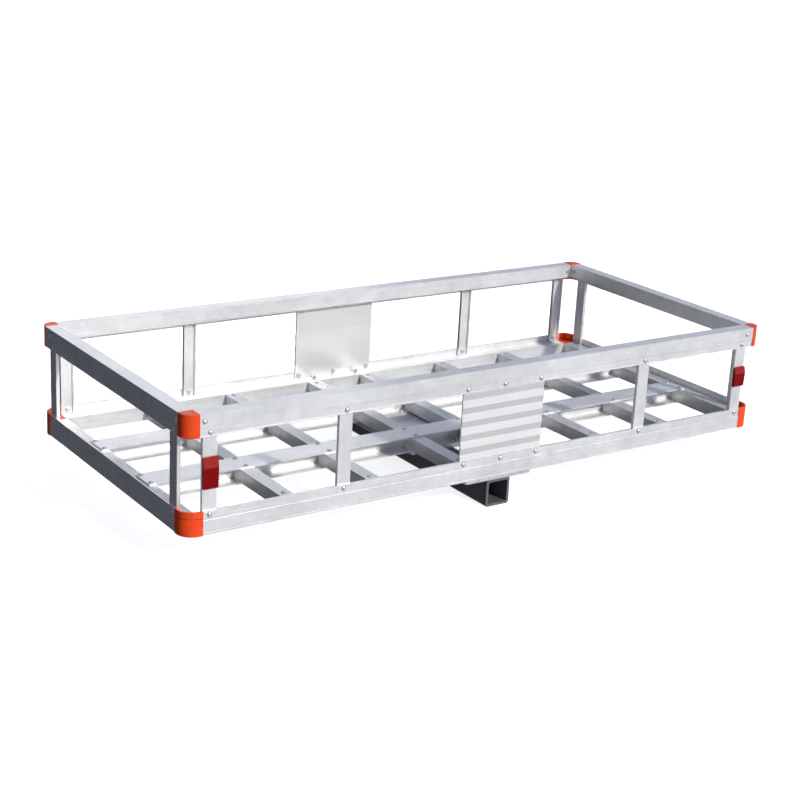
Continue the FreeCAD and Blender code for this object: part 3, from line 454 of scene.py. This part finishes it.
WELD_STEP = 1.1 * MM
WELD_LEG = 5.0 * MM
WELD_SIDES = 5
WELD_DROP = 0.05 * MM
WELD_ROOT = 0.6 * MM
WELD_RIPPLE = 0.14
WELD_RIPPLE_TURN = math.pi / 2
WELD_END_SHARE = 0.45
WELD_TAPER = 6.0
WELD_HEIGHT_SHARE = 0.9
WELD_HOLLOW = 0.72
WELD_MIN_STEPS = 8
PLATE_DEPTH = 42.0 * MM
END_WELD_INSET = 1.5 * MM
MIDDLE_WELD_INSET = 6.0 * MM


def weld_leg(step, steps):
    """The bead's width at a step: rippled, and narrower at both ends."""
    share = step / steps
    ripple = 1.0 + WELD_RIPPLE * math.sin(step * WELD_RIPPLE_TURN)
    taper = min(1.0, WELD_END_SHARE + WELD_TAPER * min(share, 1.0 - share))
    return WELD_LEG * ripple * taper


def weld_ring(side, y, leg):
    """One cross-section of a bead: a hollow curve from the plate down to the tube's wall."""
    top = TUBE_HIGH[2] - WELD_DROP
    wall = side * TUBE_HIGH[0]
    root = wall - side * WELD_ROOT
    height = leg * WELD_HEIGHT_SHARE
    points = []
    for number in range(WELD_SIDES + 1):
        turn = number / WELD_SIDES * math.pi / 2
        rise = math.sin(turn)
        reach = leg * (1.0 - WELD_HOLLOW * rise - (1.0 - WELD_HOLLOW) * rise ** 2)
        points.append((wall + side * reach, y, top - height * (1.0 - math.cos(turn))))
    points.append((root, y, top - height))
    points.append((root, y, top))
    return points


def weld_bead(name, side, start_y, end_y):
    """A rippled fillet weld in the corner between the tube's side and the plate above it."""
    mesh = bmesh.new()
    steps = max(WELD_MIN_STEPS, round((end_y - start_y) / WELD_STEP))
    rings = []
    for step in range(steps + 1):
        y = start_y + step / steps * (end_y - start_y)
        points = weld_ring(side, y, weld_leg(step, steps))
        rings.append([mesh.verts.new(point) for point in points])
    for first, second in zip(rings, rings[1:]):
        for number in range(len(first)):
            following = (number + 1) % len(first)
            mesh.faces.new((first[number], first[following], second[following], second[number]))
    mesh.faces.new(rings[0])
    mesh.faces.new(list(reversed(rings[-1])))
    bmesh.ops.recalc_face_normals(mesh, faces=mesh.faces)
    for face in mesh.faces:
        face.smooth = len(face.verts) == 4
    data = bpy.data.meshes.new(name)
    mesh.to_mesh(data)
    mesh.free()
    piece = bpy.data.objects.new(name, data)
    scene.collection.objects.link(piece)
    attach(piece, "root")
    return piece


def add_welds(material):
    """A bead on both sides of the tube under the front, middle and back plates."""
    end_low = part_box("end_plates")[0][1]
    end_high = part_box("end_plates")[1][1]
    middle_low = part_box("middle_plate")[0][1]
    middle_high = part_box("middle_plate")[1][1]
    front_start = max(end_low, TUBE_LOW[1])
    runs = {
        "front": (front_start + END_WELD_INSET, end_low + PLATE_DEPTH - END_WELD_INSET),
        "middle": (middle_low + MIDDLE_WELD_INSET, middle_high - MIDDLE_WELD_INSET),
        "back": (end_high - PLATE_DEPTH + END_WELD_INSET, end_high - END_WELD_INSET),
    }
    for place, (start, end) in runs.items():
        for side, word in ((LEFT, "left"), (RIGHT, "right")):
            bead = weld_bead("weld_%s_%s" % (place, word), side, start, end)
            bead.data.materials.append(material)


# ---------------------------------------------------------------- light

SUN_AZIMUTH = math.radians(12.5)
SUN_ELEVATION = math.radians(31.0)
SUN_WIDTH = math.radians(3.0)
SUN_DISTANCE = 5.0
SUN_POWER = 3.7
SUN_COLOR = (1.0, 0.965, 0.89)
GLOW_SIZE = (1.3, 0.55)
GLOW_PLACE = (0.05, 1.05, 0.78)
GLOW_TARGET = (-0.60, -0.20, 0.20)
GLOW_POWER = 2.9
SKY_POWER = 1.75
SKY_BELOW = (0.30, 0.30, 0.30)
SKY_ABOVE = (0.22, 0.26, 0.37)
SKY_ZENITH = (1.0, 1.0, 1.0)
SKY_ZENITH_START = 254 / 255
SKY_BRIGHT_WAY = (0.80, -0.60, 0.0)
SKY_DIM_SIDE = 0.09


def direction(azimuth, elevation):
    """A unit vector from the basket: azimuth 0 is straight ahead of the front, positive to the right."""
    across = math.cos(elevation)
    return Vector((math.sin(azimuth) * across, -math.cos(azimuth) * across, math.sin(elevation)))


def aim_at(item, place, target):
    """Puts a light at a place, shining at a target."""
    item.location = place
    item.rotation_euler = (Vector(target) - Vector(place)).to_track_quat("-Z", "Y").to_euler()


def add_sun():
    """A low sun from the front, a little to the right, with softened shadow edges."""
    light = bpy.data.lights.new("sun", "SUN")
    light.energy = SUN_POWER
    light.angle = SUN_WIDTH
    light.color = SUN_COLOR
    item = bpy.data.objects.new("sun", light)
    scene.collection.objects.link(item)
    aim_at(item, BASKET_CENTRE + direction(SUN_AZIMUTH, SUN_ELEVATION) * SUN_DISTANCE, BASKET_CENTRE)


def add_back_glow():
    """A soft panel behind the basket, mirrored in the tops of the left half."""
    light = bpy.data.lights.new("back_glow", "AREA")
    light.shape = "RECTANGLE"
    light.size, light.size_y = GLOW_SIZE
    light.energy = GLOW_POWER
    item = bpy.data.objects.new("back_glow", light)
    item.visible_camera = False
    scene.collection.objects.link(item)
    aim_at(item, GLOW_PLACE, GLOW_TARGET)


def sky_color(tree, way):
    """Grey below and bluer above, with a small white patch straight overhead."""
    split = tree.nodes.new("ShaderNodeSeparateXYZ")
    tree.links.new(way, split.inputs["Vector"])
    ramp = tree.nodes.new("ShaderNodeValToRGB")
    height = ranged(tree, split.outputs["Z"], low=0.0, high=1.0, start=-1.0, end=1.0)
    tree.links.new(height, ramp.inputs["Fac"])
    stops = ramp.color_ramp.elements
    stops[0].color = (*SKY_BELOW, 1.0)
    stops[1].color = (*SKY_ZENITH, 1.0)
    stops.new(SKY_ZENITH_START).color = (*SKY_ABOVE, 1.0)
    return ramp.outputs["Color"]


def sky_side(tree, way):
    """1 to the front right, falling to the dim share at the back left."""
    across = tree.nodes.new("ShaderNodeVectorMath")
    across.operation = "DOT_PRODUCT"
    across.inputs[1].default_value = SKY_BRIGHT_WAY
    tree.links.new(way, across.inputs[0])
    return ranged(tree, across.outputs["Value"], low=SKY_DIM_SIDE, high=1.0, start=-0.85, end=0.30)


def add_sky():
    """A soft studio round: bright to the front right, dim to the back left."""
    world = bpy.data.worlds.new("studio")
    scene.world = world
    world.use_nodes = True
    tree = world.node_tree
    background = tree.nodes["Background"]
    way = tree.nodes.new("ShaderNodeTexCoord").outputs["Generated"]
    shade = tree.nodes.new("ShaderNodeVectorMath")
    shade.operation = "SCALE"
    tree.links.new(sky_color(tree, way), shade.inputs[0])
    tree.links.new(sky_side(tree, way), shade.inputs["Scale"])
    tree.links.new(shade.outputs["Vector"], background.inputs["Color"])
    background.inputs["Strength"].default_value = SKY_POWER


# ---------------------------------------------------------------- floor and camera

FLOOR_HALF = 40.0
FLOOR_DARK = (0.62, 0.62, 0.62)
FLOOR_LIGHT = (0.66, 0.66, 0.66)
FLOOR_CLOUD_SCALE = 1.5
FLOOR_ROUGHNESS = 0.9
FLOOR_GLOW = 0.80
CAMERA_AZIMUTH = math.radians(-34.90)
CAMERA_ELEVATION = math.radians(18.33)
CAMERA_ROLL = math.radians(3.05)
CAMERA_DISTANCE = 3.0993
CAMERA_AIM = BASKET_CENTRE + Vector((-0.02418, 0.00007, -0.04317))
CAMERA_SENSOR_MM = 36.0
CAMERA_LENS_MM = 73.58


def floor_surface():
    """A pale matt surface that glows a little, so that the ground comes out white."""
    material, tree, shader = new_material("floor_surface")
    cloud = stretched_noise(tree, even(FLOOR_CLOUD_SCALE), detail=2.0)
    tone = ranged(tree, cloud, low=0.0, high=1.0)
    tree.links.new(blended_color(tree, tone, FLOOR_DARK, FLOOR_LIGHT), shader.inputs["Base Color"])
    shader.inputs["Roughness"].default_value = FLOOR_ROUGHNESS
    shader.inputs["Emission Color"].default_value = (1.0, 1.0, 1.0, 1.0)
    shader.inputs["Emission Strength"].default_value = FLOOR_GLOW
    return material


def add_floor():
    """A wide level floor under the tube that lights nothing and is mirrored in nothing."""
    low, high = -FLOOR_HALF, FLOOR_HALF
    level = cad_box[0][2]
    corners = [(low, low, level), (high, low, level), (high, high, level), (low, high, level)]
    mesh = bpy.data.meshes.new("floor")
    mesh.from_pydata(corners, [], [(0, 1, 2, 3)])
    mesh.materials.append(floor_surface())
    floor = bpy.data.objects.new("floor", mesh)
    scene.collection.objects.link(floor)
    floor.visible_diffuse = False
    floor.visible_glossy = False


def add_camera():
    """The photograph's viewpoint: turned to the left front, a little above, with a slight roll."""
    back = direction(CAMERA_AZIMUTH, CAMERA_ELEVATION)
    level_right = (-back).cross(Vector((0, 0, 1))).normalized()
    level_up = level_right.cross(-back)
    right = level_right * math.cos(CAMERA_ROLL) + level_up * math.sin(CAMERA_ROLL)
    up = level_up * math.cos(CAMERA_ROLL) - level_right * math.sin(CAMERA_ROLL)
    data = bpy.data.cameras.new("camera")
    data.sensor_width = CAMERA_SENSOR_MM
    data.lens = CAMERA_LENS_MM
    camera = bpy.data.objects.new("camera", data)
    scene.collection.objects.link(camera)
    turn = Matrix((right, up, back)).transposed().to_4x4()
    camera.matrix_world = Matrix.Translation(CAMERA_AIM + back * CAMERA_DISTANCE) @ turn
    scene.camera = camera


steel_paint = tube_paint()
paint_nodes(steel_paint)
soften_nodes()
add_welds(steel_paint)
add_sun()
add_back_glow()
add_sky()
add_floor()
add_camera()
scene.view_settings.view_transform = "Standard"
